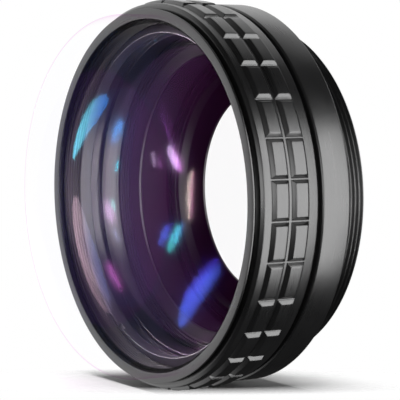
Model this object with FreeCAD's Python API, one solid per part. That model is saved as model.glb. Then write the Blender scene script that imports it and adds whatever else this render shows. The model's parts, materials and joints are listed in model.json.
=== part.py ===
import FreeCAD, Part
import math
import os

# Two-part conversion lens for a camera: a wide-angle module screwed onto a close-up module.
# The optical axis is +Z, the rear end face lies on Z = 0 and the bulging front glass points up.
# Every length is in millimetres and every radius is measured from the optical axis.

# Rear mounting thread and the outside of the two barrels
thread_r = 26.0
thread_len = 5.1
thread_chamfer = 0.4
flange_width = 3.25
macro_body_len = 5.1
barrel_chamfer = 0.4
grip_len = 9.7
grip_front_chamfer = 0.45

# Screw joint between the modules, with the friction ring in its groove
joint_step = 2.25
joint_clear = 0.05
joint_wall = 1.4
spigot_len = 3.2
spigot_end_gap = 0.15
seal_thick = 0.94
seal_inset = 0.95
seal_clear = 0.1

# Raised pads of the grip, in two rows round the barrel
pad_count = 31
pad_phase = 1.8
pad_height = 0.55
pad_bevel = 0.47
pad_gap = 0.3
pad_row_gap = 0.5
pad_rear_land = 1.6
pad_front_land = 1.7
pad_root = 0.3

# Front ring with its rim, glass seat and ridged wall
ring_screw_wall = 1.65
ring_len = 4.3
screw_clear = 0.05
rim_flange = 0.8
rim_thick = 0.3
rim_gap = 0.6
seat_wall = 0.7
seat_depth = 0.9
ridge_depth = 0.28
ridge_count = 6
ridge_len = 2.7

# Bulging front glass and the gasket under it
glass_clear = 0.1
gasket_width = 0.5
gasket_thick = 0.2
front_overhang = 0.7
front_overhang_gap = 0.1
front_wall_len = 6.5
front_rise = 3.0
front_bowl_rise = 7.7
front_seat_width = 1.2
front_round = 2.7

# Second glass of the wide-angle module, on its spacer and under its retaining ring
second_edge_len = 2.0
second_rise = 5.6
second_bowl_rise = 6.2
second_seat_width = 1.1
bore_clear = 0.05
spacer_wall = 0.65
shoulder_width = 0.5
shoulder_thick = 0.4
shoulder_gap = 0.3
retainer_wall = 0.95
retainer_bite = 1.1
retainer_clear = 0.1
retainer_skirt = 0.75
retainer_hold = 0.5
retainer_land = 1.1
retainer_cone = 0.9

# Close-up doublet, its seat and its stepped retaining ring
doublet_wall = 3.75
doublet_seat_z = 3.65
doublet_seat_width = 0.8
flint_edge_len = 4.3
crown_edge_len = 1.0
crown_rise = 2.1
bond_drop = 3.6
flint_drop = 1.65
trap_clear = 0.35
trap_bite = 1.1
trap_lip_thick = 0.4
trap_lip_hold = 0.5
trap_rise = 1.7
trap_rim = 0.4
trap_step_count = 4
trap_step_share = 0.5

# Rear baffle, screwed into the rear of the close-up barrel
rear_recess = 0.2
rear_ring_gap = 0.4
rear_ring_wall = 1.0
rear_step_width = 0.6
rear_step_depth = 0.35
rear_taper = 0.35
rear_lip_thick = 0.4
rear_lip_len = 1.2
rear_lip_width = 3.5

# Slots for a spanner wrench, two in each retaining ring
slot_width = 1.6
slot_depth = 0.6
slot_turn = 60.0

# How close a corner has to lie to a face to count as on it
near = 0.01

# Radii that follow from the mounting thread and the walls
body_r = thread_r + flange_width
joint_r = body_r - joint_step
ring_body_r = body_r - ring_screw_wall
rim_r = ring_body_r + rim_flange
seat_bore_r = ring_body_r - seat_wall
front_r = seat_bore_r - glass_clear
ridge_r = front_r - gasket_width
retainer_r = ridge_r
second_r = retainer_r - retainer_wall
retainer_lip_r = second_r - retainer_hold
bore_r = second_r + bore_clear
doublet_bore_r = thread_r - doublet_wall
doublet_r = doublet_bore_r - bore_clear
doublet_seat_r = doublet_r - doublet_seat_width
trap_r = joint_r - joint_wall - trap_clear
trap_lip_r = doublet_r - trap_lip_hold

# Heights of the faces where one piece meets the next
macro_front_z = thread_len + macro_body_len
grip_rear_z = macro_front_z + seal_thick
grip_front_z = grip_rear_z + grip_len
pad_width = (grip_len - pad_rear_land - pad_row_gap - pad_front_land) / 2
rim_z = grip_front_z + rim_gap + rim_thick
glass_ledge_z = rim_z - seat_depth
front_ring_z = grip_front_z + rim_gap - ring_len
channel_z = macro_front_z - spigot_len - spigot_end_gap
crown_z = doublet_seat_z + flint_edge_len
doublet_top_z = crown_z + crown_edge_len
trap_foot_z = channel_z - trap_bite
trap_lip_z = doublet_top_z + screw_clear
trap_top_z = trap_lip_z + trap_lip_thick + trap_rise
shoulder_z = trap_top_z + shoulder_gap
spacer_z = shoulder_z + shoulder_thick
retainer_foot_z = front_ring_z - retainer_bite
second_top_z = retainer_foot_z + retainer_skirt
second_z = second_top_z - second_edge_len
cone_z = second_top_z + retainer_land
retainer_top_z = cone_z + retainer_cone
front_z = glass_ledge_z + gasket_thick
axis = FreeCAD.Vector(0, 0, 1)
origin = FreeCAD.Vector(0, 0, 0)


def point(r, z):
    return FreeCAD.Vector(r, 0, z)


def outline(points):
    # Straight edges through (radius, height) pairs, left open at the end
    corners = [point(r, z) for r, z in points]
    return [Part.LineSegment(a, b).toShape() for a, b in zip(corners, corners[1:])]


def turned(edges):
    # Solid of revolution about the optical axis from one closed loop of edges
    return Part.Face(Part.Wire(edges)).revolve(origin, axis, 360)


def ring(points):
    return turned(outline(points + points[:1]))


def cap_arc(edge_r, edge_z, rise):
    # Spherical surface from the edge circle to its vertex on the axis, which lies rise above the edge
    radius = (edge_r ** 2 + rise ** 2) / (2 * rise)
    centre_z = edge_z + rise - radius
    half = math.asin(edge_r / abs(radius)) / 2
    middle = point(abs(radius) * math.sin(half), centre_z + radius * math.cos(half))
    return Part.Arc(point(edge_r, edge_z), middle, point(0, edge_z + rise)).toShape()


def lens(edge, low, high):
    # Glass element: corners of its ground edge from the front to the rear, then its two spherical faces,
    # each given as radius, height at its edge and rise
    low_r, low_z, low_rise = low
    high_r, high_z, high_rise = high
    edges = outline([(0, low_z + low_rise), (0, high_z + high_rise)])
    edges.append(cap_arc(high_r, high_z, high_rise))
    corners = [(high_r, high_z)] + edge + [(low_r, low_z)]
    edges += outline([corner for n, corner in enumerate(corners) if corner not in corners[:n]])
    edges.append(cap_arc(low_r, low_z, low_rise))
    return turned(Part.__sortEdges__(edges))


def grooved(radius, depth, low_z, high_z, count):
    # Wall line from low_z to high_z with V-shaped grooves turned outwards into it
    pitch = (high_z - low_z) / count
    points = [(radius, low_z)]
    for number in range(count):
        start = low_z + number * pitch
        points.append((radius + depth, start + pitch / 2))
        points.append((radius, start + pitch))
    return points


def spanner_slots(inner_r, outer_r, low_z, high_z):
    # Two slots across a ring, on opposite sides of the axis
    length = outer_r - inner_r
    slot = Part.makeBox(length, slot_width, high_z - low_z, FreeCAD.Vector(inner_r, -slot_width / 2, low_z))
    slot.rotate(origin, axis, slot_turn)
    other = slot.copy()
    other.rotate(origin, axis, 180)
    return slot.fuse(other)


def macro_barrel():
    # Close-up barrel: male mounting thread at the rear and the female joint thread in front
    c = barrel_chamfer
    return ring([
        (doublet_seat_r, 0), (thread_r - thread_chamfer, 0), (thread_r, thread_chamfer), (thread_r, thread_len),
        (body_r - c, thread_len), (body_r, thread_len + c), (body_r, macro_front_z - c / 2),
        (body_r - c / 2, macro_front_z), (joint_r + joint_clear, macro_front_z),
        (joint_r + joint_clear, channel_z), (trap_r + bore_clear, channel_z),
        (trap_r + bore_clear, trap_foot_z), (doublet_bore_r, trap_foot_z), (doublet_bore_r, doublet_seat_z),
        (doublet_seat_r, doublet_seat_z)])


def rear_baffle_ring():
    # Rear ring with the small opening, screwed into the rear of the close-up barrel
    outer = doublet_seat_r - screw_clear
    top = doublet_seat_z - rear_ring_gap
    lip_z = rear_recess + rear_lip_thick
    step_r = outer - rear_ring_wall
    bore = step_r - rear_step_width
    taper_r = bore - rear_taper
    opening_r = taper_r - rear_lip_width
    solid = ring([
        (outer, rear_recess), (outer, top), (step_r, top), (step_r, top - rear_step_depth),
        (bore, top - rear_step_depth), (taper_r, rear_recess + rear_lip_len), (opening_r, lip_z),
        (opening_r, rear_recess)])
    return solid.cut(spanner_slots(opening_r + slot_width / 2, outer - slot_width / 2,
                                   rear_recess - slot_depth, rear_recess + rear_lip_thick / 2))


def flint_element():
    # Rear half of the cemented pair: hollow towards the front, slightly bulging to the rear
    return lens([(doublet_r, doublet_seat_z)], (doublet_seat_r, doublet_seat_z, -flint_drop),
                (doublet_r, crown_z, -bond_drop))


def crown_element():
    # Front half of the cemented pair: bulging on both faces
    return lens([(doublet_r, doublet_top_z)], (doublet_r, crown_z, -bond_drop),
                (trap_lip_r - bore_clear, doublet_top_z, crown_rise))


def macro_retaining_ring():
    # Ring with a funnel, stepped at its wide end, that holds the pair and stops stray light
    rim_inner = trap_r - trap_rim
    points = [(trap_r, trap_foot_z), (trap_r, trap_top_z), (rim_inner, trap_top_z)]
    step_r = trap_step_share * (rim_inner - trap_lip_r) / trap_step_count
    step_z = trap_step_share * trap_rise / trap_step_count
    for number in range(trap_step_count):
        radius = rim_inner - number * step_r
        height = trap_top_z - (number + 1) * step_z
        points += [(radius, height), (radius - step_r, height)]
    points += [(trap_lip_r, trap_lip_z + trap_lip_thick), (trap_lip_r, trap_lip_z),
               (doublet_bore_r, trap_lip_z), (doublet_bore_r, trap_foot_z)]
    slots = spanner_slots(rim_inner - step_r, trap_r, trap_top_z - slot_depth, trap_top_z + slot_depth)
    return ring(points).cut(slots)


def module_friction_ring():
    # Black ring in the groove between the modules, gripped between their two end faces
    inner = joint_r + seal_clear
    outer = body_r - seal_inset
    return ring([(inner, macro_front_z), (outer, macro_front_z), (outer, grip_rear_z), (inner, grip_rear_z)])


def grip_pad(low_z):
    # One raised pad, bevelled on all four sides and rooted in the barrel
    top_r = body_r + pad_height
    root_r = body_r - pad_root
    face = Part.Face(Part.makePolygon([
        point(root_r, low_z), point(top_r, low_z), point(top_r, low_z + pad_width),
        point(root_r, low_z + pad_width), point(root_r, low_z)]))
    sweep = 360 / pad_count - math.degrees(pad_gap / body_r)
    block = face.revolve(origin, axis, sweep)
    crest = [edge for edge in block.Edges
             if all(math.hypot(v.X, v.Y) > top_r - near for v in edge.Vertexes)]
    pad = block.makeChamfer(pad_bevel, crest)
    pad.rotate(origin, axis, pad_phase + math.degrees(pad_gap / body_r) / 2)
    return pad


def grip_pads():
    pads = []
    for row in range(2):
        first = grip_pad(grip_rear_z + pad_rear_land + row * (pad_width + pad_row_gap))
        for number in range(pad_count):
            pad = first.copy()
            pad.rotate(origin, axis, number * 360 / pad_count)
            pads.append(pad)
    return pads


def grip_barrel():
    # Wide-angle barrel: joint spigot, shoulder for the spacer, screw seats and the padded grip
    c = grip_front_chamfer
    spigot_inner = joint_r - joint_wall
    spigot_z = macro_front_z - spigot_len
    ring_bore = ring_body_r + screw_clear
    retainer_bore = retainer_r + screw_clear
    base = ring([
        (spigot_inner, spigot_z), (joint_r - joint_clear, spigot_z), (joint_r, spigot_z + joint_clear),
        (joint_r, grip_rear_z), (body_r, grip_rear_z), (body_r, grip_front_z - c),
        (body_r - c, grip_front_z), (ring_bore, grip_front_z), (ring_bore, front_ring_z),
        (retainer_bore, front_ring_z), (retainer_bore, retainer_foot_z), (bore_r, retainer_foot_z),
        (bore_r, spacer_z), (bore_r - shoulder_width, spacer_z), (bore_r - shoulder_width, shoulder_z),
        (spigot_inner, shoulder_z)])
    return base.multiFuse(grip_pads())


def spacer_ring():
    # Tube that carries the second glass at its distance from the shoulder
    inner = second_r - spacer_wall
    return ring([(inner, spacer_z), (second_r, spacer_z), (second_r, second_z), (inner, second_z)])


def second_element():
    # Thin bowl of glass behind the front one, with a flat seat round both of its faces
    return lens([(second_r, second_top_z), (second_r, second_z)],
                (second_r - second_seat_width, second_z, second_bowl_rise),
                (retainer_lip_r - bore_clear, second_top_z, second_rise))


def inner_retaining_ring():
    # Screwed ring with a conical face that slopes away from its raised inner lip
    solid = ring([
        (retainer_r, retainer_foot_z), (retainer_r, cone_z), (retainer_lip_r, retainer_top_z),
        (retainer_lip_r, second_top_z), (bore_r, second_top_z), (bore_r, retainer_foot_z)])
    return solid.cut(spanner_slots(retainer_lip_r - slot_width, retainer_r - slot_width / 4,
                                   retainer_top_z - slot_depth, retainer_top_z + slot_depth))


def front_ring():
    # Front rim, seat of the front glass and ridged wall behind it, screwed into the grip barrel
    clear_r = retainer_r + retainer_clear
    ridge_top = glass_ledge_z - gasket_thick
    ridge_low = ridge_top - ridge_len
    wall = grooved(ridge_r, ridge_depth, ridge_low, ridge_top, ridge_count)
    return ring([
        (clear_r, front_ring_z), (ring_body_r, front_ring_z), (ring_body_r, rim_z - rim_thick),
        (rim_r, rim_z - rim_thick), (rim_r, rim_z), (seat_bore_r, rim_z), (seat_bore_r, glass_ledge_z),
        (ridge_r, glass_ledge_z)] + wall[::-1] + [(clear_r, ridge_low)])


def front_gasket():
    # Soft ring between the ledge and the front glass
    return ring([(ridge_r, glass_ledge_z), (front_r, glass_ledge_z), (front_r, front_z), (ridge_r, front_z)])


def front_element():
    # Thick-edged meniscus: it overhangs the rim, stands well proud of it, and its rear face is a deep bowl
    wall_r = front_r + front_overhang
    wall_z = rim_z + front_overhang_gap
    top_z = wall_z + front_wall_len
    glass = lens([(wall_r, wall_z), (front_r, wall_z), (front_r, front_z)],
                 (front_r - front_seat_width, front_z, front_bowl_rise), (wall_r, top_z, front_rise))
    crest = [edge for edge in glass.Edges if all(abs(v.Z - top_z) < near for v in edge.Vertexes)]
    return glass.makeFillet(front_round, crest)


nodes = {
    "macro_barrel": macro_barrel,
    "rear_baffle_ring": rear_baffle_ring,
    "flint_element": flint_element,
    "crown_element": crown_element,
    "macro_retaining_ring": macro_retaining_ring,
    "module_friction_ring": module_friction_ring,
    "grip_barrel": grip_barrel,
    "spacer_ring": spacer_ring,
    "second_element": second_element,
    "inner_retaining_ring": inner_retaining_ring,
    "front_ring": front_ring,
    "front_gasket": front_gasket,
    "front_element": front_element,
}

os.makedirs("parts", exist_ok=True)
for name, build in nodes.items():
    shape = build()
    shape.exportStep("parts/" + name + ".step")
    print(name, "solids", len(shape.Solids), "valid", shape.isValid(), "volume", round(shape.Volume, 1))
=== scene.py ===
import bpy
import json
import math
from mathutils import Matrix, Vector

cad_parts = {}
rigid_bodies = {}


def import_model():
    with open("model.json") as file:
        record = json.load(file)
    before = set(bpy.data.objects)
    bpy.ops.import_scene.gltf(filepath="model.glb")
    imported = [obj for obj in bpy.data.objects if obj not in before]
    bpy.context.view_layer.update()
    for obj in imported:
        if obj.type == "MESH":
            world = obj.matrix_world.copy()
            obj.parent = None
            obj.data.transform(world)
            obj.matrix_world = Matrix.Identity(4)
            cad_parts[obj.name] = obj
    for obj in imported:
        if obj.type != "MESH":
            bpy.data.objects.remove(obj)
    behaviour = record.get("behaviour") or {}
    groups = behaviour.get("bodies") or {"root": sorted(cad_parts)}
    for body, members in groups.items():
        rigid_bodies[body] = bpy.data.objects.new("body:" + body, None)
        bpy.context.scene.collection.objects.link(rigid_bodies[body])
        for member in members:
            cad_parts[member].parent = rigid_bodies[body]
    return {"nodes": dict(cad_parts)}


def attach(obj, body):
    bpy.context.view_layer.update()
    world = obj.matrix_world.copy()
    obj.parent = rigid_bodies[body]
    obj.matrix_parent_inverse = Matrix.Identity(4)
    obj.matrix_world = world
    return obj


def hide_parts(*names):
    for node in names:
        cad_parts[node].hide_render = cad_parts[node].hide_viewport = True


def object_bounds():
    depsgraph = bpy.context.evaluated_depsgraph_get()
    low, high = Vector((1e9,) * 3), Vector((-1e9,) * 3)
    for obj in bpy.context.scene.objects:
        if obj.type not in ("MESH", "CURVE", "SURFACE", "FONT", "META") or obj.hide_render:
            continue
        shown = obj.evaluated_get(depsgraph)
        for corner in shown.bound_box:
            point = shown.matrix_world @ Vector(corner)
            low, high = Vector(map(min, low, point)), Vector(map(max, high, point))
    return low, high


# Screw-on conversion lens, standing on its rear face with the optical axis along +Z

# Outlines are in millimetres, as in the part's source, and meshes are made in metres
MM = 0.001
ROUND_SEGMENTS = 288
EDGE_ROUND = 0.07
FINE_ROUND = 0.05
SHARP_ANGLE = math.radians(32)

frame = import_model()
cad_low, cad_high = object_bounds()

# Rear thread and close-up barrel
THREAD_R = 26.0
THREAD_LEN = 5.1
THREAD_PITCH = 0.75
THREAD_DEPTH = 0.42
THREAD_SLANT = 2.3
THREAD_SKIN = 0.01
THREAD_LEAD_IN = (0.15, 0.45)
THREAD_RUN_OUT = (0.45, 0.65)
THREAD_ROWS = 14
CORNER_LEAD = 0.001
BODY_R = 29.25
CHAMFER = 0.4
MACRO_FRONT_Z = 10.20
MACRO_FRONT_CHAMFER = 0.2
JOINT_R = 27.0
JOINT_BORE_R = 27.05
CHANNEL_Z = 6.85
TRAP_BORE_R = 25.30
TRAP_FOOT_Z = 5.75
DULL_BORE_R = 22.75

# Cemented pair and the edge of every glass
DOUBLET_R = 22.2
DOUBLET_BORE_R = 22.25
DOUBLET_SEAT_R = 21.4
DOUBLET_SEAT_Z = 3.65
DOUBLET_TOP_Z = 8.95
CROWN_CAP_R = 21.65
CROWN_RISE = 2.1
CROWN_EDGE_R = 21.7
FLINT_DROP = 1.65
GLASS_BEVEL = 0.1

# Grip barrel and its pads
GRIP_REAR_Z = 11.14
GRIP_FRONT_Z = 20.84
GRIP_CHAMFER = 0.45
SPIGOT_Z = 7.0
SPIGOT_CHAMFER = 0.05
SPIGOT_BORE_R = 25.6
SHOULDER_R = 24.9
SHOULDER_Z = 11.4
BORE_R = 25.4
RETAINER_FOOT_Z = 16.04
RETAINER_BORE_R = 26.35
RING_SOCKET_R = 27.65
PAD_COUNT = 31
PAD_PHASE = 1.8
PAD_GAP = 0.3
PAD_HEIGHT = 0.55
PAD_BEVEL = 0.47
PAD_ROOT = 0.2
PAD_CREST_INSET = 0.3
PAD_ROWS = ((12.74, 15.69), (16.19, 19.14))

# Front ring
RIM_R = 28.4
RIM_Z = 21.74
RIM_THICK = 0.3
RING_SCREW_R = 27.6
RING_BORE_R = 26.4
SEAT_BORE_R = 26.9
LEDGE_Z = 20.84
RIDGE_R = 26.3
RIDGE_DEPTH = 0.28
RIDGE_COUNT = 6
RIDGE_LEN = 2.7
RIDGE_LAND = 0.2
MATTE_WALL_R = 26.65
FRONT_RING_Z = 17.14

# Front glass
FRONT_R = 26.8
FRONT_Z = 21.04
FRONT_WALL_R = 27.5
FRONT_WALL_Z = 21.84
FRONT_TOP_Z = 28.34
FRONT_RISE = 3.0
FRONT_ROUND = 2.7
FRONT_ROUND_STEPS = 16
FRONT_CAP_STEPS = 60
FRONT_LEAST_STEP = 0.2
FRONT_BOWL_R = 25.6
FRONT_BOWL_RISE = 7.7

# Second glass and the tube that it stands on
SECOND_R = 25.35
SECOND_Z = 14.79
SECOND_TOP_Z = 16.79
SECOND_CAP_R = 24.8
SECOND_RISE = 5.6
SECOND_BOWL_R = 24.25
SECOND_BOWL_RISE = 6.2
SECOND_EDGE_R = 25.0
SPACER_BORE_R = 24.7
SPACER_Z = 11.8

# Radii between which the mirroring of every glass fades, in front of its ground edge
MIRROR_FADE_R = (24.6, 25.6)


def softened(points, size, closed=True, steps=3):
    """An outline with each corner replaced by a small curve that starts size before it."""
    out = []
    count = len(points)
    for i, corner in enumerate(points):
        if not closed and i in (0, count - 1):
            out.append(corner)
            continue
        before = Vector(points[i - 1]) - Vector(corner)
        after = Vector(points[(i + 1) % count]) - Vector(corner)
        cut = min(size, before.length * 0.4, after.length * 0.4)
        start = Vector(corner) + before.normalized() * cut
        end = Vector(corner) + after.normalized() * cut
        for k in range(steps + 1):
            t = k / steps
            p = start * (1 - t) ** 2 + Vector(corner) * 2 * t * (1 - t) + end * t ** 2
            out.append((p.x, p.y))
    return out


def cap(edge_r, edge_z, rise, steps=24):
    """Spherical surface in half section, from its edge circle to the axis. rise is negative downwards."""
    radius = (edge_r ** 2 + rise ** 2) / (2 * abs(rise))
    half = math.asin(edge_r / radius)
    side = math.copysign(1, rise)
    points = []
    for k in range(steps + 1):
        angle = half * (1 - k / steps)
        drop = radius * (1 - math.cos(angle))
        points.append((radius * math.sin(angle), edge_z + rise - side * drop))
    points[-1] = (0.0, edge_z + rise)
    return points


class Build:
    """Vertices and faces of one piece, in millimetres until it is made."""

    def __init__(self):
        self.vertices = []
        self.faces = []

    def lathe(self, outline, closed=True, relief=None, segments=ROUND_SEGMENTS):
        """Turns an outline of (radius, height) pairs about the axis.

        relief changes a radius, by angle, radius and height.
        """
        rows = []
        for r, z in outline:
            if r < 1e-6:
                rows.append([len(self.vertices)] * segments)
                self.vertices.append((0.0, 0.0, z))
                continue
            first = len(self.vertices)
            for n in range(segments):
                angle = 2 * math.pi * n / segments
                radius = r + relief(angle, r, z) if relief else r
                self.vertices.append((radius * math.cos(angle), radius * math.sin(angle), z))
            rows.append(list(range(first, first + segments)))
        pairs = list(zip(rows, rows[1:]))
        if closed:
            pairs.append((rows[-1], rows[0]))
        for low, high in pairs:
            for n in range(segments):
                m = (n + 1) % segments
                face = [low[n], low[m], high[m], high[n]]
                self.faces.append([v for k, v in enumerate(face) if v not in face[:k]])

    def pad(self, low_z, high_z, first_angle, last_angle):
        """One raised block on the barrel, bevelled on four sides and curved with it."""
        profile = softened([(0.0, -PAD_ROOT), (0.0, PAD_HEIGHT - PAD_BEVEL), (PAD_BEVEL, PAD_HEIGHT),
                            (PAD_BEVEL + PAD_CREST_INSET, PAD_HEIGHT)], EDGE_ROUND, closed=False)
        across, along = 10, 4
        rings = []
        for inset, height in profile:
            a0 = first_angle + inset / BODY_R
            a1 = last_angle - inset / BODY_R
            z0, z1 = low_z + inset, high_z - inset
            loop = [(a0 + (a1 - a0) * k / across, z0) for k in range(across)]
            loop += [(a1, z0 + (z1 - z0) * k / along) for k in range(along)]
            loop += [(a1 - (a1 - a0) * k / across, z1) for k in range(across)]
            loop += [(a0, z1 - (z1 - z0) * k / along) for k in range(along)]
            radius = BODY_R + height
            first = len(self.vertices)
            self.vertices += [(radius * math.cos(a), radius * math.sin(a), z) for a, z in loop]
            rings.append(list(range(first, first + len(loop))))
        size = len(rings[0])
        for low, high in zip(rings, rings[1:]):
            for n in range(size):
                m = (n + 1) % size
                self.faces.append([low[n], low[m], high[m], high[n]])
        top = rings[-1]
        front = top[:across + 1]
        back = [top[(2 * across + along - k) % size] for k in range(across + 1)]
        for k in range(across):
            self.faces.append([front[k], front[k + 1], back[k + 1], back[k]])

    def make(self, name, body, material, *nodes, inner=None, outer=None, at_r=0.0):
        """The mesh as an object that rides a body and replaces nodes.

        Faces inside at_r can have another material, or else the faces outside it.
        """
        mesh = bpy.data.meshes.new(name)
        mesh.from_pydata([tuple(c * MM for c in v) for v in self.vertices], [], self.faces)
        mesh.validate()
        mesh.shade_smooth()
        mesh.set_sharp_from_angle(angle=SHARP_ANGLE)
        mesh.materials.append(material)
        if inner or outer:
            mesh.materials.append(inner or outer)
            for face in mesh.polygons:
                face.material_index = int((face.center.xy.length < at_r * MM) == bool(inner))
        piece = bpy.data.objects.new(name, mesh)
        bpy.context.scene.collection.objects.link(piece)
        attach(piece, body)
        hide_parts(*nodes)
        return piece


# Nodes of the materials and the world


class Tree:
    """Short names for the few node types in use."""

    def __init__(self, owner, output="OutputMaterial"):
        owner.use_nodes = True
        self.tree = owner.node_tree
        self.tree.nodes.clear()
        self.output = self.add(output)

    def add(self, kind, **settings):
        node = self.tree.nodes.new("ShaderNode" + kind)
        for key, value in settings.items():
            if hasattr(node, key):
                setattr(node, key, value)
            else:
                self.put(node.inputs[key.replace("_", " ")], value)
        return node

    def put(self, socket, value):
        if isinstance(value, bpy.types.NodeSocket):
            self.tree.links.new(value, socket)
        else:
            socket.default_value = value

    def math(self, operation, a, b=0.0, clamp=False):
        node = self.add("Math", operation=operation, use_clamp=clamp)
        self.put(node.inputs[0], a)
        self.put(node.inputs[1], b)
        return node.outputs[0]

    def vector(self, operation, a, b=(0.0, 0.0, 0.0)):
        """Result of a vector operation: a number for DOT_PRODUCT and LENGTH, a vector otherwise."""
        node = self.add("VectorMath", operation=operation)
        self.put(node.inputs[0], a)
        self.put(node.inputs[1], b)
        return node.outputs["Value" if operation in ("DOT_PRODUCT", "LENGTH") else "Vector"]

    def split(self, vector):
        node = self.add("SeparateXYZ")
        self.put(node.inputs[0], vector)
        return tuple(node.outputs)

    def join(self, x, y, z):
        node = self.add("CombineXYZ")
        for socket, value in zip(node.inputs, (x, y, z)):
            self.put(socket, value)
        return node.outputs[0]

    def span(self, value, low, high, to_low=0.0, to_high=1.0, curve="LINEAR"):
        node = self.add("MapRange", interpolation_type=curve)
        for name, number in (("Value", value), ("From Min", low), ("From Max", high),
                             ("To Min", to_low), ("To Max", to_high)):
            self.put(node.inputs[name], number)
        return node.outputs["Result"]

    def noise(self, vector, scale, detail=2.0, roughness=0.5):
        node = self.add("TexNoise")
        self.put(node.inputs["Vector"], vector)
        for name, number in (("Scale", scale), ("Detail", detail), ("Roughness", roughness)):
            self.put(node.inputs[name], number)
        return node.outputs["Fac"]

    def ramp(self, value, *stops):
        node = self.add("ValToRGB")
        self.put(node.inputs["Fac"], value)
        elements = node.color_ramp.elements
        while len(elements) < len(stops):
            elements.new(0.5)
        for element, (position, colour) in zip(elements, stops):
            element.position = position
            element.color = (*colour, 1.0)
        return node.outputs["Color"]

    def turning(self):
        """Angle about the axis, radius and height in millimetres, and the place as a vector."""
        where = self.add("TexCoord").outputs["Object"]
        x, y, z = self.split(where)
        flat = self.math("SQRT", self.math("ADD", self.math("MULTIPLY", x, x), self.math("MULTIPLY", y, y)))
        return self.math("ARCTAN2", y, x), self.math("DIVIDE", flat, MM), self.math("DIVIDE", z, MM), where

    def mixed(self, share, first, second):
        """First shader, replaced by the second one in the given share."""
        node = self.add("MixShader")
        for socket, value in zip(node.inputs, (share, first, second)):
            self.put(socket, value)
        return node.outputs[0]

    def show(self, shader):
        self.put(self.output.inputs["Surface"], shader)


def turned_metal(name, colour, roughness, ior, grain):
    """Anodised metal with fine lathe lines, a light grain and uneven gloss."""
    material = bpy.data.materials.new(name)
    t = Tree(material)
    angle, radius, height, where = t.turning()
    along = t.join(t.math("MULTIPLY", angle, 1.4), t.math("MULTIPLY", radius, 9.0),
                   t.math("MULTIPLY", height, 9.0))
    marks = t.noise(along, 1.0, 3.0, 0.6)
    specks = t.noise(where, 7000.0, 2.0, 0.6)
    clouds = t.noise(where, 160.0, 2.0, 0.5)
    relief = t.math("ADD", marks, t.math("MULTIPLY", specks, grain))
    bump = t.add("Bump", Strength=0.35, Distance=0.00002)
    t.put(bump.inputs["Height"], relief)
    t.put(bump.inputs["Normal"], t.add("Bevel", samples=4, Radius=0.00018).outputs[0])
    dark = tuple(c * 0.75 for c in colour)
    light = tuple(c * 1.3 for c in colour)
    shade = t.ramp(t.math("ADD", t.math("MULTIPLY", specks, 0.5), t.math("MULTIPLY", clouds, 0.5)),
                   (0.35, dark), (0.65, light))
    gloss = t.span(t.math("ADD", t.math("MULTIPLY", marks, 0.5), t.math("MULTIPLY", clouds, 0.5)),
                   0.3, 0.7, roughness - 0.05, roughness + 0.05)
    shader = t.add("BsdfPrincipled", IOR=ior)
    t.put(shader.inputs["Base Color"], shade)
    t.put(shader.inputs["Roughness"], gloss)
    t.put(shader.inputs["Normal"], bump.outputs[0])
    t.show(shader.outputs[0])
    return material


def soft_rubber(name, colour):
    material = bpy.data.materials.new(name)
    t = Tree(material)
    where = t.add("TexCoord").outputs["Object"]
    grain = t.noise(where, 5000.0, 3.0, 0.6)
    bump = t.add("Bump", Strength=0.3, Distance=0.00002)
    t.put(bump.inputs["Height"], grain)
    shader = t.add("BsdfPrincipled", IOR=1.45)
    t.put(shader.inputs["Base Color"], t.ramp(grain, (0.3, tuple(c * 0.7 for c in colour)), (0.7, colour)))
    t.put(shader.inputs["Roughness"], t.span(grain, 0.3, 0.7, 0.45, 0.65))
    t.put(shader.inputs["Normal"], bump.outputs[0])
    t.show(shader.outputs[0])
    return material


def coated_lens(name, middle, front, rear, zone_r=0.0):
    """Polished glass, clear but for the faint coloured reflections of its two coatings.

    middle is the surface halfway between the two faces, as its height at the axis and its sphere's radius.
    front and rear are the coatings: colour seen straight, colour seen aslant, reflectance.
    Outside zone_r the rear coating is thinner, and towards its edge the glass hardly mirrors.
    """
    material = bpy.data.materials.new(name)
    t = Tree(material)
    radius, height, where = t.turning()[1:]
    top, sphere = middle
    surface = t.math("SUBTRACT", top, t.math("DIVIDE", t.math("MULTIPLY", radius, radius), 2 * sphere))
    ahead = t.math("GREATER_THAN", height, surface)
    facing = t.add("LayerWeight", Blend=0.5).outputs["Facing"]
    smear = t.noise(where, 90.0, 2.0, 0.5)
    tilt = t.math("ADD", facing, t.span(smear, 0.3, 0.7, -0.03, 0.03))

    zone = t.span(radius, zone_r, zone_r + 0.2, 1.0, 0.35) if zone_r else 1.0
    behind = t.math("MULTIPLY", t.math("SUBTRACT", 1.0, ahead), t.math("MULTIPLY", zone, rear[2]))
    coat = t.math("ADD", t.math("MULTIPLY", ahead, front[2]), behind)
    aslant = t.math("MULTIPLY", t.math("POWER", facing, 7.0), 0.12)
    edge = t.span(radius, *MIRROR_FADE_R, 1.0, 0.06)
    share = t.math("MULTIPLY", t.math("ADD", aslant, coat), edge, clamp=True)

    blend = t.add("Mix", data_type="RGBA")
    t.put(blend.inputs[0], ahead)
    for socket, coating in ((blend.inputs[6], rear), (blend.inputs[7], front)):
        t.put(socket, t.ramp(tilt, (0.25, coating[0]), (0.6, coating[1]),
                             (0.72, (1.0, 0.93, 0.98)), (0.98, (1.0, 0.8, 0.93))))
    mirror = t.add("BsdfAnisotropic", distribution="GGX")
    t.put(mirror.inputs["Color"], blend.outputs[2])
    t.put(mirror.inputs["Roughness"], t.span(smear, 0.3, 0.7, 0.08, 0.1))
    clear = t.add("BsdfTransparent")
    t.put(clear.inputs["Color"], t.ramp(facing, (0.7, (1.0, 1.0, 1.0)), (0.95, (0.96, 0.84, 0.95))))
    t.show(t.mixed(share, clear.outputs[0], mirror.outputs[0]))
    return material


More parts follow.
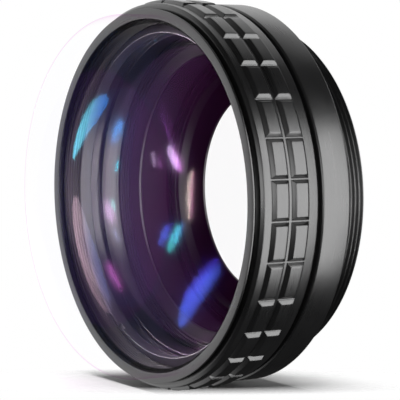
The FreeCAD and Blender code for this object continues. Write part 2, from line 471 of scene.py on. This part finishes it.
body_metal = turned_metal("satin_black_anodised", (0.006, 0.006, 0.0065), 0.3, 2.1, 0.8)
# Lighter copy of the black anodising for the spacer and the edge of the second glass: its paler base colour
# is painted light for the light grey band they show, while its higher reflectance mirrors the soft boxes
painted_light_metal = turned_metal("grey_painted_light_anodised", (0.028, 0.021, 0.032), 0.33, 1.95, 0.6)
# Lit copy of the black anodising for the conical retaining ring: its base colour is painted far lighter, as
# painted light for the light band on its cone, which the cone lamps also light
painted_light_cone_metal = turned_metal("painted_light_grey_anodised", (0.09, 0.078, 0.1), 0.38, 1.95, 0.6)
bore_metal = turned_metal("dull_black_anodised", (0.004, 0.003, 0.005), 0.6, 1.25, 0.6)
inner_metal = turned_metal("matte_black_anodised", (0.018, 0.015, 0.02), 0.38, 1.7, 0.6)
seal_rubber = soft_rubber("black_seal_rubber", (0.012, 0.012, 0.012))
front_glass = coated_lens(
    "violet_coated_glass", (30.0, 1500.0), ((0.9, 0.15, 0.9), (0.25, 0.25, 1.0), 0.02),
    ((0.25, 0.45, 1.0), (0.2, 0.4, 1.0), 0.02), zone_r=16.4)
second_glass = coated_lens(
    "magenta_coated_glass", (21.69, 51.0), ((1.0, 0.35, 1.0), (0.7, 0.4, 1.0), 0.02),
    ((1.0, 0.1, 0.9), (0.6, 0.2, 1.0), 0.012))
rear_glass = coated_lens(
    "blue_green_coated_glass", (6.0, 1500.0), ((0.7, 0.2, 0.8), (0.3, 0.5, 1.0), 0.01),
    ((0.5, 0.3, 0.9), (0.3, 0.5, 1.0), 0.006))


# Pieces of the close-up module


def share_between(value, low, high):
    return min(1.0, max(0.0, (value - low) / (high - low)))


def thread_relief(angle, radius, height):
    """How far the male thread's groove cuts in, for a point of the rear barrel's outside.

    The groove has slanted sides and a narrow flat floor, and it fades at both ends of the thread.
    """
    if radius < THREAD_R - THREAD_SKIN:
        return 0.0
    turn = (height / THREAD_PITCH - angle / (2 * math.pi)) % 1.0
    slope = min(1.0, THREAD_SLANT * (0.5 - abs(turn - 0.5)))
    lead_in = share_between(height, *THREAD_LEAD_IN)
    run_out = share_between(THREAD_LEN - height, *THREAD_RUN_OUT)
    return -THREAD_DEPTH * slope * lead_in * run_out


def make_macro_barrel():
    rear = softened([(DOUBLET_SEAT_R, DOUBLET_SEAT_Z), (DOUBLET_SEAT_R, 0.0), (THREAD_R - CHAMFER, 0.0),
                     (THREAD_R, CHAMFER)], EDGE_ROUND, closed=False)
    rows = THREAD_ROWS * round(THREAD_LEN / THREAD_PITCH)
    thread = [(THREAD_R, CHAMFER + (THREAD_LEN - CHAMFER) * k / rows) for k in range(1, rows)]
    front = softened([
        (THREAD_R, THREAD_LEN - CORNER_LEAD), (THREAD_R, THREAD_LEN), (BODY_R - CHAMFER, THREAD_LEN),
        (BODY_R, THREAD_LEN + CHAMFER), (BODY_R, MACRO_FRONT_Z - MACRO_FRONT_CHAMFER),
        (BODY_R - MACRO_FRONT_CHAMFER, MACRO_FRONT_Z),
        (JOINT_BORE_R, MACRO_FRONT_Z), (JOINT_BORE_R, CHANNEL_Z), (TRAP_BORE_R, CHANNEL_Z),
        (TRAP_BORE_R, TRAP_FOOT_Z), (DOUBLET_BORE_R, TRAP_FOOT_Z), (DOUBLET_BORE_R, DOUBLET_SEAT_Z),
        (DOUBLET_SEAT_R, DOUBLET_SEAT_Z)], EDGE_ROUND, closed=False)
    build = Build()
    build.lathe(rear[1:] + thread + front, relief=thread_relief)
    build.make("macro_barrel_threaded", "macro_module", body_metal, "macro_barrel",
               inner=bore_metal, at_r=DULL_BORE_R)


def glass_edge(radius, top_z, foot_z):
    """Ground edge of a glass with a small bevel at both ends, from its front down."""
    return [(radius - GLASS_BEVEL, top_z), (radius, top_z - GLASS_BEVEL),
            (radius, foot_z + GLASS_BEVEL), (radius - GLASS_BEVEL, foot_z)]


def make_doublet():
    """The cemented pair, which shows only its two outer faces."""
    build = Build()
    build.lathe(cap(CROWN_CAP_R, DOUBLET_TOP_Z, CROWN_RISE)[::-1]
                + glass_edge(DOUBLET_R, DOUBLET_TOP_Z, DOUBLET_SEAT_Z)
                + cap(DOUBLET_SEAT_R, DOUBLET_SEAT_Z, -FLINT_DROP), closed=False)
    build.make("doublet_glass", "macro_module", rear_glass, "crown_element", "flint_element",
               outer=bore_metal, at_r=CROWN_EDGE_R)


# Pieces of the wide-angle module


def make_grip_barrel():
    build = Build()
    build.lathe(softened([
        (SPIGOT_BORE_R, SPIGOT_Z), (JOINT_R - SPIGOT_CHAMFER, SPIGOT_Z),
        (JOINT_R, SPIGOT_Z + SPIGOT_CHAMFER),
        (JOINT_R, GRIP_REAR_Z), (BODY_R, GRIP_REAR_Z), (BODY_R, GRIP_FRONT_Z - GRIP_CHAMFER),
        (BODY_R - GRIP_CHAMFER, GRIP_FRONT_Z), (RING_SOCKET_R, GRIP_FRONT_Z),
        (RING_SOCKET_R, FRONT_RING_Z), (RETAINER_BORE_R, FRONT_RING_Z),
        (RETAINER_BORE_R, RETAINER_FOOT_Z), (BORE_R, RETAINER_FOOT_Z), (BORE_R, SPACER_Z),
        (SHOULDER_R, SPACER_Z), (SHOULDER_R, SHOULDER_Z), (SPIGOT_BORE_R, SHOULDER_Z)], EDGE_ROUND))
    gap = PAD_GAP / BODY_R
    step = 2 * math.pi / PAD_COUNT
    for low_z, high_z in PAD_ROWS:
        for n in range(PAD_COUNT):
            first = math.radians(PAD_PHASE) + n * step
            build.pad(low_z, high_z, first + gap / 2, first + step - gap / 2)
    build.make("grip_barrel_padded", "wide_module", body_metal, "grip_barrel")


def make_front_ring():
    """Rim, seat of the front glass and the ridged wall behind it."""
    ridge_top = LEDGE_Z - RIDGE_LAND
    pitch = RIDGE_LEN / RIDGE_COUNT
    ridges = [(RIDGE_R, ridge_top)]
    for n in range(RIDGE_COUNT):
        ridges += [(RIDGE_R + RIDGE_DEPTH, ridge_top - (n + 0.5) * pitch),
                   (RIDGE_R, ridge_top - (n + 1) * pitch)]
    build = Build()
    build.lathe(softened([
        (RING_BORE_R, FRONT_RING_Z), (RING_SCREW_R, FRONT_RING_Z), (RING_SCREW_R, RIM_Z - RIM_THICK),
        (RIM_R, RIM_Z - RIM_THICK), (RIM_R, RIM_Z), (SEAT_BORE_R, RIM_Z), (SEAT_BORE_R, LEDGE_Z),
        (RIDGE_R, LEDGE_Z), *ridges, (RING_BORE_R, ridge_top - RIDGE_LEN)], FINE_ROUND))
    build.make("front_ring_rim", "wide_module", body_metal, "front_ring",
               inner=inner_metal, at_r=MATTE_WALL_R)


def make_spacer():
    build = Build()
    build.lathe(softened([(SPACER_BORE_R, SPACER_Z), (SECOND_R, SPACER_Z), (SECOND_R, SECOND_Z),
                          (SPACER_BORE_R, SECOND_Z)], FINE_ROUND))
    build.make("spacer_tube", "wide_module", painted_light_metal, "spacer_ring")


def make_front_glass():
    """Dome whose edge is rounded with an arc that touches both the cap and the wall."""
    sphere = (FRONT_WALL_R ** 2 + FRONT_RISE ** 2) / (2 * FRONT_RISE)
    sphere_z = FRONT_TOP_Z + FRONT_RISE - sphere
    arc_r = FRONT_WALL_R - FRONT_ROUND
    arc_z = sphere_z + math.sqrt((sphere - FRONT_ROUND) ** 2 - arc_r ** 2)
    last = math.atan2(arc_z - sphere_z, arc_r)
    arc = []
    for k in range(FRONT_ROUND_STEPS + 1):
        angle = last * k / FRONT_ROUND_STEPS
        arc.append((arc_r + FRONT_ROUND * math.cos(angle), arc_z + FRONT_ROUND * math.sin(angle)))
    dome = [(r, z) for r, z in cap(FRONT_WALL_R, FRONT_TOP_Z, FRONT_RISE, FRONT_CAP_STEPS)
            if r < arc[-1][0] - FRONT_LEAST_STEP]
    build = Build()
    build.lathe(dome[::-1] + arc[::-1] + [(FRONT_WALL_R, FRONT_WALL_Z), (FRONT_R, FRONT_WALL_Z)]
                + [(FRONT_R, FRONT_Z + GLASS_BEVEL), (FRONT_R - GLASS_BEVEL, FRONT_Z)]
                + cap(FRONT_BOWL_R, FRONT_Z, FRONT_BOWL_RISE), closed=False)
    build.make("front_glass_dome", "wide_module", front_glass, "front_element")


def make_second_glass():
    build = Build()
    build.lathe(cap(SECOND_CAP_R, SECOND_TOP_Z, SECOND_RISE)[::-1]
                + glass_edge(SECOND_R, SECOND_TOP_Z, SECOND_Z)
                + cap(SECOND_BOWL_R, SECOND_Z, SECOND_BOWL_RISE), closed=False)
    build.make("second_glass_bowl", "wide_module", second_glass, "second_element",
               outer=painted_light_metal, at_r=SECOND_EDGE_R)


make_macro_barrel()
make_doublet()
make_grip_barrel()
make_front_ring()
make_spacer()
make_front_glass()
make_second_glass()

# The conical retaining ring takes the copy with the painted light
for name, finish in (("rear_baffle_ring", inner_metal), ("macro_retaining_ring", inner_metal),
                     ("inner_retaining_ring", painted_light_cone_metal), ("module_friction_ring", seal_rubber),
                     ("front_gasket", seal_rubber)):
    node = frame["nodes"][name]
    node.data.materials.clear()
    node.data.materials.append(finish)

# Camera at the photograph's viewing angle
PHOTO_SIZE = 400
AZIMUTH = math.radians(58)
ELEVATION = math.radians(4)
CAMERA_DISTANCE = 0.285
FOCAL_SHARE = 4.685
RIM_PIXEL = (145.4, 196.2)
SENSOR_WIDTH = 36
rim_centre = Vector((0, 0, RIM_Z * MM))
back = Vector((-math.sin(AZIMUTH) * math.cos(ELEVATION), -math.sin(ELEVATION),
               math.cos(AZIMUTH) * math.cos(ELEVATION)))
# The lens lies on its side in the photograph, so the camera is rolled: up there is -Y here
photo_up = (Vector((0, -1, 0)) + back * back.y).normalized()
photo_right = photo_up.cross(back)

camera_data = bpy.data.cameras.new("photo_camera")
camera_data.sensor_width = SENSOR_WIDTH
camera_data.lens = SENSOR_WIDTH * FOCAL_SHARE
camera_data.shift_x = 0.5 - RIM_PIXEL[0] / PHOTO_SIZE
camera_data.shift_y = RIM_PIXEL[1] / PHOTO_SIZE - 0.5
camera_data.clip_start = 0.01
camera_data.clip_end = 20
camera = bpy.data.objects.new("photo_camera", camera_data)
bpy.context.scene.collection.objects.link(camera)
camera.matrix_world = Matrix.Translation(rim_centre + back * CAMERA_DISTANCE) @ Matrix(
    (photo_right, photo_up, back)).transposed().to_4x4()
bpy.context.scene.camera = camera
bpy.context.scene.view_settings.view_transform = "Standard"

# Studio: white background, soft boxes and the plane that the photographed lens lies on
WORLD_DARK = 0.02
FLOOR_HALF = 0.16
FLOOR_GAP = 0.0001
FLOOR_RIGHT = 0.0085
FLOOR_BEHIND = 0.009
FLOOR_SQUEEZE = 0.3
FLOOR_FADE = (0.006, 0.0125)


def photo_direction(right, up, toward):
    return photo_right * right + photo_up * up + back * toward


def set_world():
    """White for the camera, bright behind the lens and on its left, and dark elsewhere, as a studio is."""
    world = bpy.data.worlds.new("studio")
    bpy.context.scene.world = world
    t = Tree(world, "OutputWorld")
    where = t.add("TexCoord").outputs["Generated"]
    behind = t.span(t.vector("DOT_PRODUCT", where, -back), 0.5, 0.85, WORLD_DARK, 1.0, "SMOOTHSTEP")
    above = t.span(t.split(where)[1], -0.03, 0.1, 1.0, WORLD_DARK)
    taller = t.vector("NORMALIZE", t.vector("MULTIPLY", where, (1.0, 0.4, 1.0)))
    on_left = t.vector("DOT_PRODUCT", taller, photo_direction(-0.75, 0.0, -0.66))
    left = t.span(on_left, 0.7, 0.97, WORLD_DARK, 0.9, "SMOOTHSTEP")
    studio = t.math("MAXIMUM", t.math("MULTIPLY", behind, above), left)
    path = t.add("LightPath")
    seen = t.math("MAXIMUM", path.outputs["Is Camera Ray"], path.outputs["Is Transmission Ray"])
    background = t.add("Background", Color=(1.0, 1.0, 1.0, 1.0))
    t.put(background.inputs["Strength"], t.math("MAXIMUM", seen, studio))
    t.show(background.outputs[0])


def group(name, *pieces):
    """Collection of the pieces that a lamp lights."""
    collection = bpy.data.collections.new(name)
    for piece in pieces:
        collection.objects.link(piece)
    return collection


def soft_box(name, lit, direction, width, height, radiance, colour=(1.0, 1.0, 1.0), roll=0,
             shape="RECTANGLE", distance=0.5):
    """Area light that faces the rim from a direction and lights one group of pieces.

    At no roll its height is along the photograph's up.
    """
    data = bpy.data.lights.new(name, "AREA")
    data.shape = shape
    data.size = width
    data.size_y = height
    data.energy = radiance * math.pi * width * height
    data.color = colour
    light = bpy.data.objects.new(name, data)
    light.visible_camera = False
    light.light_linking.receiver_collection = lit
    bpy.context.scene.collection.objects.link(light)
    out = direction.normalized()
    up = (photo_up - out * photo_up.dot(out)).normalized()
    facing = Matrix((up.cross(out), up, out)).transposed().to_4x4()
    turned = Matrix.Rotation(math.radians(-roll), 4, "Z")
    light.matrix_world = Matrix.Translation(rim_centre + out * distance) @ facing @ turned
    return light


def make_floor():
    """White plane under the photographed lens, facing -Y, that fades into the white background.

    It shows within an ellipse about a point to the right of the rim's centre and behind it.
    """
    top = cad_high.y + FLOOR_GAP
    corners = ((-1, -1), (1, -1), (1, 1), (-1, 1))
    mesh = bpy.data.meshes.new("photo_floor")
    mesh.from_pydata([(x * FLOOR_HALF, top, z * FLOOR_HALF) for x, z in corners], [], [(0, 1, 2, 3)])
    floor = bpy.data.objects.new("photo_floor", mesh)
    bpy.context.scene.collection.objects.link(floor)
    floor.visible_glossy = False
    material = bpy.data.materials.new("white_floor")
    mesh.materials.append(material)
    t = Tree(material)
    where = t.add("TexCoord").outputs["Object"]
    offset = t.vector("SUBTRACT", where, rim_centre + photo_right * FLOOR_RIGHT - back * FLOOR_BEHIND)
    across, along = (t.vector("DOT_PRODUCT", offset, (axis.x, 0.0, axis.z))
                     for axis in (photo_right * FLOOR_SQUEEZE, back))
    fade = t.span(t.vector("LENGTH", t.join(across, along, 0.0)), *FLOOR_FADE)
    hidden = t.math("MAXIMUM", fade, t.add("NewGeometry").outputs["Backfacing"])
    grain = t.noise(where, 400.0, 2.0, 0.5)
    white = t.add("BsdfDiffuse")
    t.put(white.inputs["Color"], t.ramp(grain, (0.3, (0.9, 0.9, 0.9)), (0.7, (0.93, 0.93, 0.93))))
    t.show(t.mixed(hidden, white.outputs[0], t.add("BsdfTransparent").outputs[0]))
    return floor


set_world()
lens = group("lens_only", *(piece for piece in bpy.context.scene.objects if piece.type == "MESH"))
floor = group("floor_only", make_floor())
front_ring = group("ridge_only", bpy.data.objects["front_ring_rim"])
cone = group("cone_only", frame["nodes"]["inner_retaining_ring"], bpy.data.objects["spacer_tube"])
front_lens = group("front_only", bpy.data.objects["front_glass_dome"])
second_lens = group("second_only", bpy.data.objects["second_glass_bowl"])
all_glass = group("all_glass", *(bpy.data.objects[name] for name in (
    "doublet_glass", "front_glass_dome", "second_glass_bowl")))

# Soft boxes for the floor, the whole lens, the ridged wall and the conical face behind it
soft_box("floor_box", floor, photo_direction(-0.1, 0.98, 0.0), 0.16, 0.16, 37.0)
soft_box("side_box", lens, Vector((-0.846, 0.03, -0.53)), 0.35, 0.7, 3.0)
soft_box("top_box", lens, photo_direction(0.15, 0.8, -0.6), 0.5, 0.3, 0.4)
soft_box("front_box", lens, Vector((-0.53, -0.1, 0.85)), 0.25, 0.25, 2.5, distance=0.6)
soft_box("edge_box", lens, Vector((-0.93, 0.0, 0.2)), 0.3, 0.3, 3.0, distance=0.6)
ridge_box = soft_box("ridge_box", front_ring, photo_direction(-0.45, 0.8, -0.4), 0.3, 0.3, 50.0)
# The ridged wall is lit by its box, but doesn't mirror it
ridge_box.visible_glossy = False
soft_box("cone_low_box", cone, photo_direction(-0.7, 0.45, -0.5), 0.5, 0.5, 9.0, (1.0, 0.88, 1.0))
soft_box("cone_high_box", cone, photo_direction(-0.7, -0.45, -0.5), 0.5, 0.5, 3.5, (1.0, 0.88, 1.0))

# Lamps that only show as reflections in the glass
for name, glass, direction, width, height, radiance, colour, roll in (
        ("veil_box", all_glass, (-0.93, 0.0, -0.36), 1.6, 2.2, 0.14, (1.0, 0.3, 0.75), 0),
        ("lamp_blue", second_lens, (-0.875, -0.46, -0.16), 0.035, 0.3, 20.0, (0.1, 0.5, 1.0), 76),
        ("lamp_azure", second_lens, (-0.94, -0.2, -0.28), 0.018, 0.07, 20.0, (0.1, 0.5, 1.0), 60),
        ("lamp_green", second_lens, (-0.955, -0.22, -0.19), 0.025, 0.09, 50.0, (0.05, 1.0, 0.4), 60),
        ("lamp_pink", second_lens, (-0.98, 0.115, -0.16), 0.022, 0.075, 60.0, (0.6, 1.0, 0.65), -50),
        ("lamp_cream", second_lens, (-1.0, -0.05, -0.02), 0.012, 0.12, 85.0, (0.42, 1.0, 0.3), 10),
        ("lamp_grey", second_lens, (-0.94, 0.1, -0.33), 0.012, 0.04, 25.0, (0.6, 1.0, 0.6), -45),
        ("lamp_cyan", front_lens, (-0.94, 0.1, -0.33), 0.014, 0.03, 60.0, (0.03, 1.0, 0.6), 40),
        ("lamp_white", front_lens, (-0.93, -0.07, -0.37), 0.015, 0.03, 60.0, (0.6, 1.0, 0.4), -40),
        ("lamp_rose", front_lens, (-0.9, -0.2, -0.38), 0.012, 0.04, 30.0, (1.0, 0.6, 0.5), -40),
        ("arc_blue", front_lens, (-0.6, 0.2, -0.77), 0.06, 0.26, 15.0, (0.15, 0.8, 1.0), 62),
        ("arc_rose", front_lens, (-0.57, -0.19, -0.8), 0.16, 0.22, 6.0, (1.0, 0.75, 0.85), -60),
        ("arc_violet", front_lens, (-0.93, 0.34, 0.1), 0.03, 0.2, 10.0, (1.0, 0.15, 0.35), -50)):
    soft_box(name, glass, photo_direction(*direction), width, height, radiance, colour, roll, "ELLIPSE")
